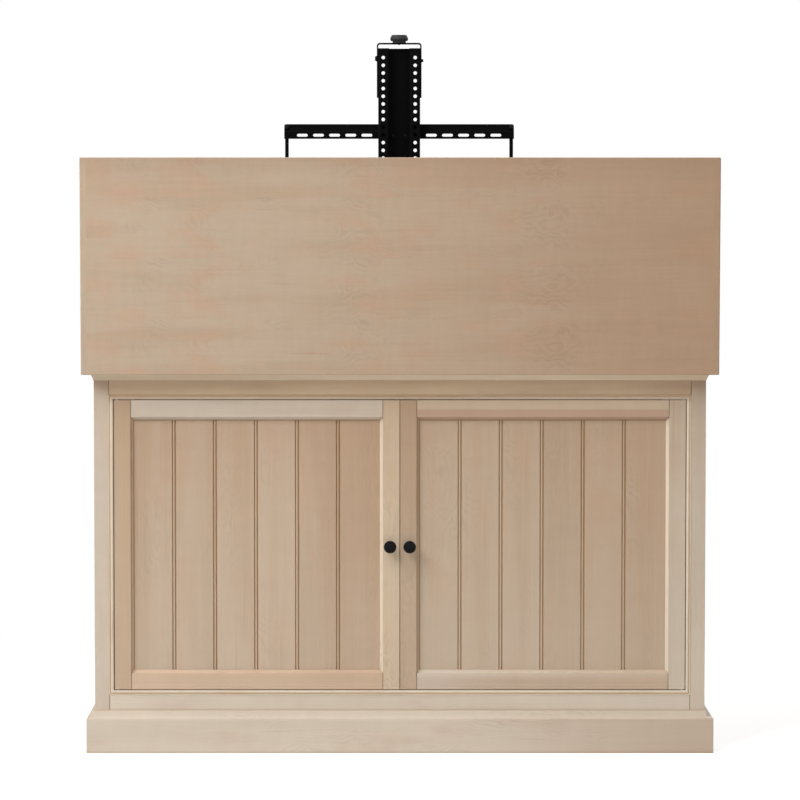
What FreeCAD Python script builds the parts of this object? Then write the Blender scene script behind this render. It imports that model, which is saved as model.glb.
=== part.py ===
import FreeCAD, Part
import math
import os

# Television lift cabinet. Millimetres, +Z up, the doors look along -Y, the television
# faces +Y. The origin is on the floor, under the centre of the case.
# The model stands with its lift raised and its lid swung open.

V = FreeCAD.Vector

# ---------------------------------------------------------------- driving dimensions
# Case and its boards
CASE_W = 1470.0            # over the side panels
CASE_D = 460.0             # face frame front to back frame rear
CASE_H = 920.0             # floor to the top edge of the case
PANEL_T = 18.0             # side panels, bottom, divider, shelves and stretcher
FRAME_T = 20.0             # face frame
BACK_FRAME_T = 18.0
BACK_PANEL_T = 9.0
BACK_PANEL_INSET = 5.0     # below the rear face of the back frame
GROOVE = 8.0               # how far panels enter the frames round them
DADO = 6.0                 # how far the bottom enters the side panels
STILE_W = 35.0             # face frame stiles
TOP_RAIL_H = 56.3
BOTTOM_RAIL_TOP = 139.0    # height of the bottom rail's upper edge
BOTTOM_RAIL_H = 80.0
BACK_STILE_W = 70.0
BACK_TOP_RAIL_H = 80.0
BACK_BOTTOM_RAIL_H = 110.0
STRETCHER_D = 90.0
RUNNER_T = 18.0

# Bead round the door opening
BEAD_W = 11.0
BEAD_FILLET_W = 1.8        # flat strip beside the quirk
BEAD_QUIRK_W = 1.8         # a shallow V between strip and roll
BEAD_QUIRK_DEEP = 1.2
BEAD_PROUD = 1.6
BEAD_FILLET_PROUD = 0.9

# Plinth
PLINTH_T = 20.0
PLINTH_H = 101.6
OGEE_H = 20.0
OGEE_LEDGE = 3.5
OGEE_ROUND_W = 3.6         # the round at the ogee's foot
OGEE_ROUND_H = 3.8
OGEE_ROUND_SAG = 1.0
OGEE_NECK_OUT = 6.5        # the steep neck over the hollow
OGEE_NECK_H = 12.4
OGEE_NECK_SAG = 0.4
OGEE_HOLLOW_SAG = 1.3

# Moulding under the lid
COVE_H = 21.6
COVE_OUT = 20.0
COVE_FOOT = 1.4            # ledge at the moulding's foot
COVE_FOOT_H = 1.0
COVE_BAND_OUT = 4.0        # the band under the moulding's hollow
COVE_BAND_H = 8.5
COVE_CAP_H = 3.0
COVE_CAP_BACK = 4.0
COVE_SAG = 1.6

# Doors
DOOR_GAP = 2.0             # round the doors, inside the bead
MEETING_GAP = 1.4
DOOR_T = 20.0
DOOR_BACKSET = 0.5         # door face behind the frame's face
DOOR_STILE_W = 47.5        # with its moulded edge
DOOR_TOP_RAIL_H = 49.0
DOOR_BOTTOM_RAIL_H = 47.0
STICKING_W = 8.0
STICKING_STEP = 1.4
STICKING_DEEP = 9.5        # door face to panel face
STICKING_LIP = 1.0         # thickness of the moulded edge over the panel
STICKING_SAG = 1.7
DOOR_PANEL_T = 8.0
BOARDS = 6
BOARD_W = 98.7
BOARD_BEAD_W = 4.4
BOARD_BEAD_SAG = 1.2
BOARD_GROOVE_W = 2.6       # on each side of the bead
BOARD_GROOVE_DEEP = 3.0
JOINT_EASE = 1.2           # eased edge of each rail's ends, doors and face frame
KNOB_D = 30.2
KNOB_OUT = 28.0
KNOB_X = 23.5              # from the middle of the cabinet
KNOB_DROP = 3.0            # below the middle of the door
KNOB_SHAPE = [(0.50, 0.00), (0.34, 0.14), (0.36, 0.38), (0.92, 0.60), (1.00, 0.70), (1.00, 0.80),
              (0.84, 0.95), (0.00, 1.00)]
SPIGOT_R = 2.5
SPIGOT_L = 12.0

# Pivot hinges of the doors
PIVOT_IN = 7.0             # from the door's outer edge
PIVOT_BACK = 5.0           # behind the door's face
PIVOT_R = 2.5
PIVOT_PLAY = 0.05          # radial, also of the lid hinge's pin
PIVOT_REACH = 3.0          # pin into the frame
PIVOT_ROOM = 4.0           # depth of the pin's hole in the frame
LEAF_L = 36.0
LEAF_W = 9.0
LEAF_T = 2.0
BOSS_R = 4.0
SEAT = 0.3                 # running gap between parts that nearly touch

# Lid and its continuous hinge
LID_W = 1524.0
LID_D = 518.0
LID_T = 25.0
LID_EDGE_R = 2.0
LID_LIP = 7.0              # lid in front of the hinge axis
LID_OPEN = 92.0            # degrees
STRIP_T = 1.4              # hinge leaf
STRIP_W = 25.0
STRIP_GAP = 0.2            # between the closed leaves
KNUCKLE_R = 3.2
KNUCKLE_L = 90.0
KNUCKLE_PLAY = 0.6
KNUCKLES = 15
PIN_R = 1.2
REST_PAD_R = 7.0
REST_PAD_INSET = 95.0      # from the sides of the case

# Shelves, divider and catches
BAY_SETBACK = 5.0          # divider behind the face frame
BAY_D = 205.0              # depth of the divider
SHELF_SETBACK = 5.0
SHELF_PLAY = 1.0
SHELF_PIN_Z = 480.0
PIN_PITCH = 64.0
PIN_ROWS = 3
SHELF_PIN_R = 2.5
SHELF_PIN_DEEP = 8.0
SHELF_PIN_OUT = 10.0
SHELF_PIN_INSET = 30.0     # from the shelf's front and rear edges
CATCH_W = 14.0
CATCH_L = 46.0
CATCH_D = 22.0
CATCH_DROP = 51.0          # middle of the catch below the doors' top
CATCH_EDGE_R = 2.8
STRIKE_T = 1.2
STRIKE_R = 8.0

# Lift: three stages that slide on each other
LIFT_BACK = 325.0          # lid hinge axis to the near face of the carriage
STEEL_T = 2.5
BEND_R = 1.5               # inside radius of the bends
COLUMN_W = 103.6
CHANNEL_W = 50.0           # inside the channel
CHANNEL_D = 34.0
STAGE_GAP = 2.0            # between the base's and the carriage's flanges
GUIDE_PLAY = 2.0           # round the middle stage, taken up by the glides
GLIDE_PLAY = 0.1
GLIDE_L = 30.0
GLIDE_D = 16.0
CARRIAGE_TOP = 1704.0      # raised
CARRIAGE_L = 575.0
MIDDLE_L = 585.0
MIDDLE_FOOT_GAP = 5.0      # middle stage over the foot plate when the lift is down
BASE_L = 573.0
TRAVEL = 965.0             # of the carriage; the middle stage makes half of it
TUBE_WALL = 3.0
HOLE_X = 39.5
HOLE_R = 4.3
HOLE_PITCH = 19.05
HOLE_TOP = 23.0            # first row below the carriage's top
HOLE_ROWS = 16
FOOT_W = 260.0
FOOT_D = 100.0
FOOT_T = 5.0
FOOT_CORNER_R = 5.0
FOOT_SCREW_X = 8.0         # from the plate's ends
FOOT_SCREW_Y = 12.0        # from its long edges
SCREW_R = 2.5
SCREW_HEAD_R = 5.0
SCREW_HEAD_H = 2.6
SCREW_GRIP = 12.0          # in the wood
GUSSET_H = 70.0

# Television mounting frame
RAIL_L = 570.0
RAIL_BELOW = 9.0           # rail under its slot line
RAIL_ABOVE = 27.5
RAIL_JOG_Z = 9.5
RAIL_JOG_H = 4.0
RAIL_JOG = 6.0
RAIL_CORNER_R = 5.0
SLOT_DROP = 213.8          # upper slot line below the carriage's top
SLOT_LINES = 300.0         # between the upper and lower slot lines
SLOT_L = 26.6
SLOT_W = 7.0
SLOT_FIRST = 80.0
SLOT_PITCH = 40.0
SLOTS = 5                  # on each side
END_BAR_W = 8.8
END_BAR_D = 15.0
END_BAR_X = 278.6
END_BAR_UP = 20.5          # bolts of the end bars over the slot lines
BOLT_R = 3.0
BOLT_HEAD_R = 6.0
BOLT_HEAD_H = 3.6
HEAD_SHAPE = [(1.00, 0.00), (1.00, 0.45), (0.66, 1.00), (0.00, 1.00)]
RAIL_BOLT_X = 15.0
END_BOLT_GRIP = 12.0       # in the end bars

# Strap and bumper that lift the lid
STRAP_T = 3.4
STRAP_D = 26.0
STRAP_GAP = 10.0           # over the carriage's top
STRAP_LEG = 135.0          # from the strap's top
STRAP_BEND_R = 4.0
STRAP_SLOT_L = 60.0
STRAP_SLOT_DROP = 25.0     # below the carriage's top
STRAP_BOLTS = ((-1, 0.0, 7.0), (1, 5.0, 4.2))  # side, place down the slot, head radius
STRAP_BOLT_HEAD_H = 4.6
BUMPER_H = 19.5
BUMPER_SHAPE = [(16.5, 0.0), (16.5, 4.9), (20.4, 5.0), (22.3, 9.0), (22.3, 11.5), (18.3, BUMPER_H),
                (0.0, BUMPER_H)]
STUD_R = 2.2
STUD_TAIL = 1.5

# Drive
DRIVE_X = 77.0
DRIVE_R = 17.0
DRIVE_L = 545.0
ROD_R = 7.0
ROD_PLAY = 0.3
GEARBOX_W = 62.0
GEARBOX_H = 60.0
GEARBOX_EDGE_R = 6.0
BORE_FLOOR = 5.0           # solid foot of the drive's bore
ROD_FOOT_GAP = 5.0         # rod over that foot when the lift is down
MOTOR_R = 22.0
MOTOR_L = 95.0
ARM_T = 6.0                # arm that the rod pushes
ARM_DROP = 3.0             # arm's top below the middle stage's top
CONTROL_W = 170.0
CONTROL_D = 62.0
CONTROL_H = 38.0
CONTROL_INSET = 132.0      # from the side panel
CONTROL_EDGE_R = 4.0
GROMMET_R = 30.0
GROMMET_LIP = 4.0
GROMMET_WALL = 2.5
GROMMET_X = 350.0
GROMMET_Z = 230.0

# ---------------------------------------------------------------- derived places
HALF_W = CASE_W / 2
HALF_D = CASE_D / 2
FRONT = -HALF_D                            # face of the face frame
REAR = HALF_D
FRAME_BACK = FRONT + FRAME_T
BACK_FRONT = REAR - BACK_FRAME_T
SIDE_IN = HALF_W - PANEL_T
OPEN_X = HALF_W - STILE_W
OPEN_TOP = CASE_H - TOP_RAIL_H
FLOOR_Z = BOTTOM_RAIL_TOP + BEAD_W         # top of the bottom panel
DOOR_X = OPEN_X - BEAD_W - DOOR_GAP        # outer edge of each door
DOOR_LOW = FLOOR_Z + DOOR_GAP
DOOR_TOP = OPEN_TOP - BEAD_W - DOOR_GAP
DOOR_FRONT = FRONT + DOOR_BACKSET
DOOR_BACK = DOOR_FRONT + DOOR_T
CATCH_Z = DOOR_TOP - CATCH_DROP
PIVOT_X = DOOR_X - PIVOT_IN
PIVOT_Y = DOOR_FRONT + PIVOT_BACK
HINGE_Y = FRONT - COVE_OUT - KNUCKLE_R - SEAT
LEAF_OFF = STRIP_T + STRIP_GAP / 2         # axis to the board each leaf lies on
HINGE_Z = CASE_H + LEAF_OFF
LID_LOW = HINGE_Z + LEAF_OFF               # underside of the closed lid
CARRIAGE_Y = HINGE_Y + LIFT_BACK
CARRIAGE_BACK = CARRIAGE_Y + CHANNEL_D
CARRIAGE_LOW = CARRIAGE_TOP - CARRIAGE_L
BASE_BACK = CARRIAGE_Y - STAGE_GAP
BASE_Y = BASE_BACK - CHANNEL_D
MIDDLE_W = CHANNEL_W - 2 * GUIDE_PLAY
MIDDLE_Y = BASE_Y + STEEL_T + GUIDE_PLAY
MIDDLE_BACK = CARRIAGE_BACK - STEEL_T - GUIDE_PLAY
FOOT_TOP = FLOOR_Z + FOOT_T
MIDDLE_LOW = FOOT_TOP + MIDDLE_FOOT_GAP + TRAVEL / 2
MIDDLE_TOP = MIDDLE_LOW + MIDDLE_L
STRAP_Y = CARRIAGE_Y + CHANNEL_D / 2
STRAP_TOP = CARRIAGE_TOP + STRAP_GAP + STRAP_T
UPPER_SLOT_Z = CARRIAGE_TOP - SLOT_DROP
LOWER_SLOT_Z = UPPER_SLOT_Z - SLOT_LINES
DRIVE_Y = BASE_BACK - DRIVE_R
BAY_FRONT = FRAME_BACK + BAY_SETBACK
BAY_BACK = BAY_FRONT + BAY_D
SIDES = (("left", -1), ("right", 1))
PAST = 1.0                                 # how far a cut runs past the faces it leaves by


# ---------------------------------------------------------------- shape helpers
def box(x0, x1, y0, y1, z0, z1):
    """A block between two corners, given low to high on each axis."""
    return Part.makeBox(x1 - x0, y1 - y0, z1 - z0, V(x0, y0, z0))


def rod(radius, start, direction, length):
    return Part.makeCylinder(radius, length, V(*start), V(*direction))


def place(plane, u, v):
    """A point of a flat section, drawn in the plane xy, xz or yz."""
    return {"xy": V(u, v, 0), "xz": V(u, 0, v), "yz": V(0, u, v)}[plane]


def bowed(plane, start, end, sag):
    """An arc from start to end that bows by sag to the left of its chord."""
    du, dv = end[0] - start[0], end[1] - start[1]
    run = math.hypot(du, dv)
    middle = ((start[0] + end[0]) / 2 - dv / run * sag, (start[1] + end[1]) / 2 + du / run * sag)
    return Part.Arc(place(plane, *start), place(plane, *middle), place(plane, *end)).toShape()


def outline(plane, corners, bows=None):
    """A flat face through the corners; bows gives the sag of the edge after a corner."""
    bows = bows or {}
    edges = []
    for i, start in enumerate(corners):
        end = corners[(i + 1) % len(corners)]
        if i in bows:
            edges.append(bowed(plane, start, end, bows[i]))
        else:
            edges.append(Part.LineSegment(place(plane, *start), place(plane, *end)).toShape())
    return Part.Face(Part.Wire(edges))


def bent_strip(plane, path, thickness, radius):
    """The section of a bent sheet: its middle line is path, with rounded bends."""
    middle = radius + thickness / 2
    sides = ([], [])
    last = [None, None]

    def unit(a, b):
        run = math.hypot(b[0] - a[0], b[1] - a[1])
        return (b[0] - a[0]) / run, (b[1] - a[1]) / run

    def aside(point, way, offset):
        return point[0] - way[1] * offset, point[1] + way[0] * offset

    def line_to(k, point):
        if last[k] is not None:
            sides[k].append(Part.LineSegment(place(plane, *last[k]), place(plane, *point)).toShape())
        last[k] = point

    offsets = (thickness / 2, -thickness / 2)
    first = unit(path[0], path[1])
    for k, offset in enumerate(offsets):
        line_to(k, aside(path[0], first, offset))
    for before, corner, after in zip(path, path[1:], path[2:]):
        way_in, way_out = unit(before, corner), unit(corner, after)
        cross = way_in[0] * way_out[1] - way_in[1] * way_out[0]
        turn = math.atan2(cross, way_in[0] * way_out[0] + way_in[1] * way_out[1])
        left = 1 if turn > 0 else -1
        tangent = middle * math.tan(abs(turn) / 2)
        start = (corner[0] - way_in[0] * tangent, corner[1] - way_in[1] * tangent)
        end = (corner[0] + way_out[0] * tangent, corner[1] + way_out[1] * tangent)
        centre = aside(start, way_in, left * middle)
        to_corner = unit(centre, corner)
        for k, offset in enumerate(offsets):
            arc_r = middle - left * offset
            arc_start, arc_end = aside(start, way_in, offset), aside(end, way_out, offset)
            arc_mid = (centre[0] + to_corner[0] * arc_r, centre[1] + to_corner[1] * arc_r)
            line_to(k, arc_start)
            sides[k].append(Part.Arc(*[place(plane, *p) for p in (arc_start, arc_mid, arc_end)]).toShape())
            last[k] = arc_end
    final = unit(path[-2], path[-1])
    for k, offset in enumerate(offsets):
        line_to(k, aside(path[-1], final, offset))
    caps = [Part.LineSegment(place(plane, *last[0]), place(plane, *last[1])).toShape(),
            Part.LineSegment(place(plane, *aside(path[0], first, offsets[0])),
                             place(plane, *aside(path[0], first, offsets[1]))).toShape()]
    return Part.Face(Part.Wire(Part.__sortEdges__(sides[0] + sides[1] + caps)))


def turned(profile, centre, axis):
    """A solid of revolution; profile is a closed list of (radius, height)."""
    points = [V(r, 0, h) for r, h in profile]
    face = Part.Face(Part.makePolygon(points + points[:1]))
    solid = face.revolve(V(0, 0, 0), V(0, 0, 1), 360)
    solid.Placement = FreeCAD.Placement(V(*centre), FreeCAD.Rotation(V(0, 0, 1), V(*axis)))
    return solid


def obround(x, z, length, width, y0, y1):
    """A slot along X, cut through in Y."""
    half = (length - width) / 2
    body = box(x - half, x + half, y0, y1, z - width / 2, z + width / 2)
    ends = [rod(width / 2, (x + s * half, y0, z), (0, 1, 0), y1 - y0) for s in (-1, 1)]
    return body.fuse(ends[0]).fuse(ends[1]).removeSplitter()


def edges_along(shape, axis):
    """The edges that run along one axis: 0, 1 or 2 for X, Y or Z."""
    return [e for e in shape.Edges if abs((e.Vertexes[-1].Point - e.Vertexes[0].Point)[axis]) > SEAT]


def mirrored(shape):
    """The same shape on the other side of the cabinet's middle plane."""
    return shape.mirror(V(0, 0, 0), V(1, 0, 0))


def mitred_run(profile, half, depth):
    """A moulding along X with mitred ends; profile is a yz face whose y runs from 0,
    at the wall, to -depth. Its length at the wall is twice half."""
    reach = half + depth
    bar = profile.extrude(V(2 * reach, 0, 0))
    bar.translate(V(-reach, 0, 0))
    span = bar.BoundBox
    ends = outline("xy", [(-half, 0), (-half - depth, -depth), (half + depth, -depth), (half, 0)])
    ends.translate(V(0, 0, span.ZMin - PAST))
    return bar.common(ends.extrude(V(0, 0, span.ZLength + 2 * PAST)))


def ring_of_mouldings(profile, depth):
    """Front, back, left and right runs of a moulding round the case."""
    runs = {}
    for name, half, wall, angle in (("front", HALF_W, HALF_D, 0), ("back", HALF_W, HALF_D, 180),
                                    ("left", HALF_D, HALF_W, -90), ("right", HALF_D, HALF_W, 90)):
        run = mitred_run(profile, half, depth)
        run.translate(V(0, -wall, 0))
        run.rotate(V(0, 0, 0), V(0, 0, 1), angle)
        runs[name] = run
    return runs


NODES = {}


def node(name, *solids):
    NODES[name] = solids[0] if len(solids) == 1 else Part.makeCompound(list(solids))


# ---------------------------------------------------------------- case
def pin_columns():
    """Where the shelf pins stand along Y."""
    front = BAY_FRONT + SHELF_SETBACK + SHELF_PIN_INSET
    back = BAY_BACK - SHELF_SETBACK - SHELF_PIN_INSET
    return front, back


def pin_rows():
    first = SHELF_PIN_Z - (PIN_ROWS - 1) / 2 * PIN_PITCH
    return [first + i * PIN_PITCH for i in range(PIN_ROWS)]


def side_panels():
    for name, s in SIDES:
        panel = box(SIDE_IN, HALF_W, FRAME_BACK, BACK_FRONT, 0, CASE_H)
        panel = panel.cut(box(SIDE_IN, SIDE_IN + DADO, FRAME_BACK, BACK_FRONT,
                              FLOOR_Z - PANEL_T, FLOOR_Z))
        for y in pin_columns():
            for z in pin_rows():
                panel = panel.cut(rod(SHELF_PIN_R, (SIDE_IN, y, z), (1, 0, 0), SHELF_PIN_DEEP))
        node("side_panel_" + name, mirrored(panel) if s < 0 else panel)


def bottom_and_runner():
    reach = SIDE_IN + DADO
    panel = box(-reach, reach, FRAME_BACK, BACK_FRONT, FLOOR_Z - PANEL_T, FLOOR_Z)
    for x, y in foot_screw_places():
        panel = panel.cut(screw_room(x, y))
    node("bottom_panel", panel)
    node("floor_runner", box(-RUNNER_T / 2, RUNNER_T / 2, FRAME_BACK, BACK_FRONT,
                             0, FLOOR_Z - PANEL_T))


def face_frame():
    for name, s in SIDES:
        stile = box(OPEN_X, HALF_W, FRONT, FRAME_BACK, 0, CASE_H)
        node("face_stile_" + name, mirrored(stile) if s < 0 else stile)
    for name, low, high in (("top", OPEN_TOP, CASE_H),
                            ("bottom", BOTTOM_RAIL_TOP - BOTTOM_RAIL_H, BOTTOM_RAIL_TOP)):
        rail = box(-OPEN_X, OPEN_X, FRONT, FRAME_BACK, low, high)
        node("face_rail_" + name, eased_ends(rail, -OPEN_X, OPEN_X, FRONT, low, high))


def eased_ends(rail, x0, x1, front, z0, z1):
    """Takes the front corners off a rail's two ends, so that its joints show as fine grooves."""
    for x, way in ((x0, 1), (x1, -1)):
        corner = outline("xy", [(x, front), (x + way * JOINT_EASE, front), (x, front + JOINT_EASE)])
        corner.translate(V(0, 0, z0))
        rail = rail.cut(corner.extrude(V(0, 0, z1 - z0)))
    return rail


def bead_profile():
    """Section of the bead strip: u runs from the frame into the opening, v is depth."""
    quirk = BEAD_FILLET_W + BEAD_QUIRK_W
    shoulder = DOOR_BACKSET
    corners = [(0, FRAME_T), (0, -BEAD_FILLET_PROUD), (BEAD_FILLET_W, -BEAD_FILLET_PROUD),
               (BEAD_FILLET_W + BEAD_QUIRK_W / 2, BEAD_QUIRK_DEEP), (quirk, shoulder),
               (BEAD_W, shoulder), (BEAD_W, FRAME_T)]
    return corners, {4: -(BEAD_PROUD + shoulder)}


def bead_run(half):
    """One bead strip along X, mitred at both ends, hanging down from z = 0."""
    corners, bows = bead_profile()
    face = outline("yz", [(v, -u) for u, v in corners], bows)
    bar = face.extrude(V(2 * half, 0, 0))
    bar.translate(V(-half, 0, 0))
    ends = outline("xz", [(-half, 0), (half, 0), (half - BEAD_W, -BEAD_W), (BEAD_W - half, -BEAD_W)])
    ends.translate(V(0, -BEAD_W, 0))
    return bar.common(ends.extrude(V(0, FRAME_T + 2 * BEAD_W, 0)))


def opening_bead():
    half_h = (OPEN_TOP - BOTTOM_RAIL_TOP) / 2
    centre_z = (OPEN_TOP + BOTTOM_RAIL_TOP) / 2
    strips = []
    for half, reach, angle in ((OPEN_X, half_h, 0), (half_h, OPEN_X, 90),
                               (OPEN_X, half_h, 180), (half_h, OPEN_X, 270)):
        strip = bead_run(half)
        strip.translate(V(0, 0, reach))
        strip.rotate(V(0, 0, 0), V(0, 1, 0), angle)
        strip.translate(V(0, FRONT, centre_z))
        for s in (-1, 1):
            for up in (-1, 1):
                strip = strip.cut(frame_leaf_room(s, up))
        strips.append(strip)
    node("opening_bead", *strips)


def back_frame():
    stile = box(HALF_W - BACK_STILE_W, HALF_W, BACK_FRONT, REAR, 0, CASE_H)
    in_x = HALF_W - BACK_STILE_W
    bottom_z = PLINTH_H / 2
    panel_z0, panel_z1 = bottom_z + BACK_BOTTOM_RAIL_H, CASE_H - BACK_TOP_RAIL_H
    panel_back = REAR - BACK_PANEL_INSET
    panel = box(-in_x - GROOVE, in_x + GROOVE, panel_back - BACK_PANEL_T, panel_back,
                panel_z0 - GROOVE, panel_z1 + GROOVE)
    rails = [box(-in_x, in_x, BACK_FRONT, REAR, panel_z1, CASE_H),
             box(-in_x, in_x, BACK_FRONT, REAR, bottom_z, panel_z0)]
    node("back_stiles", stile.cut(panel), mirrored(stile).cut(panel))
    node("back_rails", *[rail.cut(panel) for rail in rails])
    hole = rod(GROMMET_R, (GROMMET_X, BACK_FRONT, GROMMET_Z), (0, 1, 0), BACK_FRAME_T)
    node("back_panel", panel.cut(hole))
    cable_grommet(panel_back)


def cable_grommet(panel_back):
    """A flanged ring that lines the cable hole in the back panel."""
    bore = GROMMET_R - GROMMET_WALL
    lip = GROMMET_R + GROMMET_LIP
    ring = [(bore, -GROMMET_WALL), (lip, -GROMMET_WALL), (lip, 0), (GROMMET_R, 0),
            (GROMMET_R, BACK_PANEL_T), (bore, BACK_PANEL_T)]
    node("cable_grommet", turned(ring, (GROMMET_X, panel_back, GROMMET_Z), (0, -1, 0)))


def plinth():
    low = PLINTH_H - OGEE_H
    corners = [(0, 0), (-PLINTH_T, 0), (-PLINTH_T, low), (OGEE_ROUND_W - PLINTH_T, low + OGEE_ROUND_H),
               (-OGEE_NECK_OUT, PLINTH_H - OGEE_NECK_H), (-OGEE_LEDGE, PLINTH_H), (0, PLINTH_H)]
    bows = {2: OGEE_ROUND_SAG, 3: -OGEE_HOLLOW_SAG, 4: -OGEE_NECK_SAG}
    runs = ring_of_mouldings(outline("yz", corners, bows), PLINTH_T)
    node("plinth_front", runs["front"])
    node("plinth_back", runs["back"])
    node("plinth_returns", runs["left"], runs["right"])


def cove_moulding():
    low = CASE_H - COVE_H
    corners = [(0, low), (-COVE_FOOT, low), (-COVE_FOOT, low + COVE_FOOT_H),
               (-COVE_BAND_OUT, low + COVE_BAND_H),
               (-COVE_OUT + COVE_CAP_BACK, CASE_H - COVE_CAP_H), (-COVE_OUT, CASE_H - COVE_CAP_H),
               (-COVE_OUT, CASE_H), (0, CASE_H)]
    runs = ring_of_mouldings(outline("yz", corners, {3: -COVE_SAG}), COVE_OUT)
    node("cove_moulding", *runs.values())


def top_stretcher():
    node("top_stretcher", box(-SIDE_IN, SIDE_IN, FRAME_BACK, FRAME_BACK + STRETCHER_D,
                              CASE_H - PANEL_T, CASE_H))


def divider_and_shelves():
    half = PANEL_T / 2
    divider = box(-half, half, BAY_FRONT, BAY_BACK, FLOOR_Z, CASE_H - PANEL_T)
    shelf_low = SHELF_PIN_Z + SHELF_PIN_R
    pins = []
    for y in pin_columns():
        for z in pin_rows():
            divider = divider.cut(rod(SHELF_PIN_R, (-half, y, z), (1, 0, 0), PANEL_T))
        for x, way in ((-SIDE_IN, 1), (-half, -1), (half, 1), (SIDE_IN, -1)):
            start = (x - way * SHELF_PIN_DEEP, y, SHELF_PIN_Z)
            pins.append(rod(SHELF_PIN_R, start, (way, 0, 0), SHELF_PIN_DEEP + SHELF_PIN_OUT))
    node("centre_divider", divider)
    for name, s in SIDES:
        shelf = box(half + SHELF_PLAY, SIDE_IN - SHELF_PLAY, BAY_FRONT + SHELF_SETBACK,
                    BAY_BACK - SHELF_SETBACK, shelf_low, shelf_low + PANEL_T)
        node("shelf_" + name, mirrored(shelf) if s < 0 else shelf)
    node("shelf_pins", *pins)


def door_catches():
    """A magnetic catch on each side of the divider, facing its door's strike plate."""
    half = PANEL_T / 2
    front = DOOR_BACK + STRIKE_T + SEAT
    case = box(half, half + CATCH_W, front, front + CATCH_D, CATCH_Z - CATCH_L / 2, CATCH_Z + CATCH_L / 2)
    rear = [e for e in edges_along(case, 0) if e.CenterOfMass.y > front + CATCH_D / 2]
    case = case.makeFillet(CATCH_EDGE_R, rear)
    node("door_catches", mirrored(case), case)


def lid_rest_pads():
    height = LID_LOW - CASE_H - SEAT
    y = BACK_FRONT + BACK_FRAME_T / 2
    node("lid_rest_pads", *[rod(REST_PAD_R, (s * (HALF_W - REST_PAD_INSET), y, CASE_H), (0, 0, 1), height)
                            for s in (-1, 1)])


# ---------------------------------------------------------------- doors
def sticking_section(plane, width):
    """Section of a stile (plane xy) or rail (yz), moulded on its inner edge."""
    edge = width - STICKING_W
    points = [(0, 0), (edge, 0), (edge, STICKING_STEP), (width, STICKING_DEEP - STICKING_LIP),
              (width, DOOR_T), (0, DOOR_T)]
    if plane == "yz":
        return outline(plane, [(v, u) for u, v in points], {2: -STICKING_SAG})
    return outline(plane, points, {2: STICKING_SAG})


def panel_room(low_x, high_x):
    """The groove space round a door's panel, between the outer limits of the panel."""
    y = DOOR_FRONT + STICKING_DEEP
    return box(low_x, high_x, y, y + DOOR_PANEL_T,
               DOOR_LOW + DOOR_BOTTOM_RAIL_H - GROOVE, DOOR_TOP - DOOR_TOP_RAIL_H + GROOVE)


def leaf_plate(s, z0):
    """A pivot leaf from z0 up, on the side s."""
    y0 = PIVOT_Y - BOSS_R
    plate = box(DOOR_X - LEAF_L, PIVOT_X + BOSS_R, y0, y0 + LEAF_W, z0, z0 + LEAF_T)
    return mirrored(plate) if s < 0 else plate


def door_leaf_plate(s, up):
    """The leaf let into the top (up = 1) or bottom edge of a door."""
    return leaf_plate(s, DOOR_TOP - LEAF_T if up > 0 else DOOR_LOW)


def frame_leaf_plate(s, up):
    """The leaf let into the bead over or under a door."""
    return leaf_plate(s, DOOR_TOP + DOOR_GAP if up > 0 else DOOR_LOW - DOOR_GAP - LEAF_T)


def pivot_pin(s, up, radius, rise):
    """A pin on the pivot axis that leaves the door's edge by rise."""
    edge = DOOR_TOP if up > 0 else DOOR_LOW
    return rod(radius, (s * PIVOT_X, PIVOT_Y, edge), (0, 0, up), rise)


def frame_leaf_room(s, up):
    tip = pivot_pin(s, up, PIVOT_R + SEAT, DOOR_GAP + PIVOT_ROOM)
    return frame_leaf_plate(s, up).fuse(tip)


def door_hinge_leaves(s):
    leaves = []
    for up in (1, -1):
        leaf = door_leaf_plate(s, up)
        leaf = leaf.fuse(pivot_pin(s, up, BOSS_R, DOOR_GAP - SEAT))
        leaf = leaf.fuse(pivot_pin(s, up, PIVOT_R, DOOR_GAP + PIVOT_REACH))
        leaves.append(leaf.removeSplitter())
    return leaves


def door_hinge_frame_leaves():
    leaves = []
    for s in (-1, 1):
        for up in (1, -1):
            bore = pivot_pin(s, up, PIVOT_R + PIVOT_PLAY, DOOR_GAP + PIVOT_ROOM)
            leaves.append(frame_leaf_plate(s, up).cut(bore))
    node("door_hinge_frame_leaves", *leaves)


def door_stile(outer_x, inner_x):
    """A stile from its outer edge to its moulded inner edge, over the door's height."""
    width = abs(inner_x - outer_x)
    way = 1 if inner_x > outer_x else -1
    bar = sticking_section("xy", width).extrude(V(0, 0, DOOR_TOP - DOOR_LOW))
    if way < 0:
        bar = mirrored(bar)
    bar.translate(V(outer_x, DOOR_FRONT, DOOR_LOW))
    return bar


def door_rail(low_x, high_x, width, up):
    """A rail between the stiles' flat faces, moulded on its inner edge."""
    bar = sticking_section("yz", width).extrude(V(high_x - low_x, 0, 0))
    if up > 0:
        bar = bar.mirror(V(0, 0, 0), V(0, 0, 1))
    bar.translate(V(low_x, DOOR_FRONT, DOOR_TOP if up > 0 else DOOR_LOW))
    return bar


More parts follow.
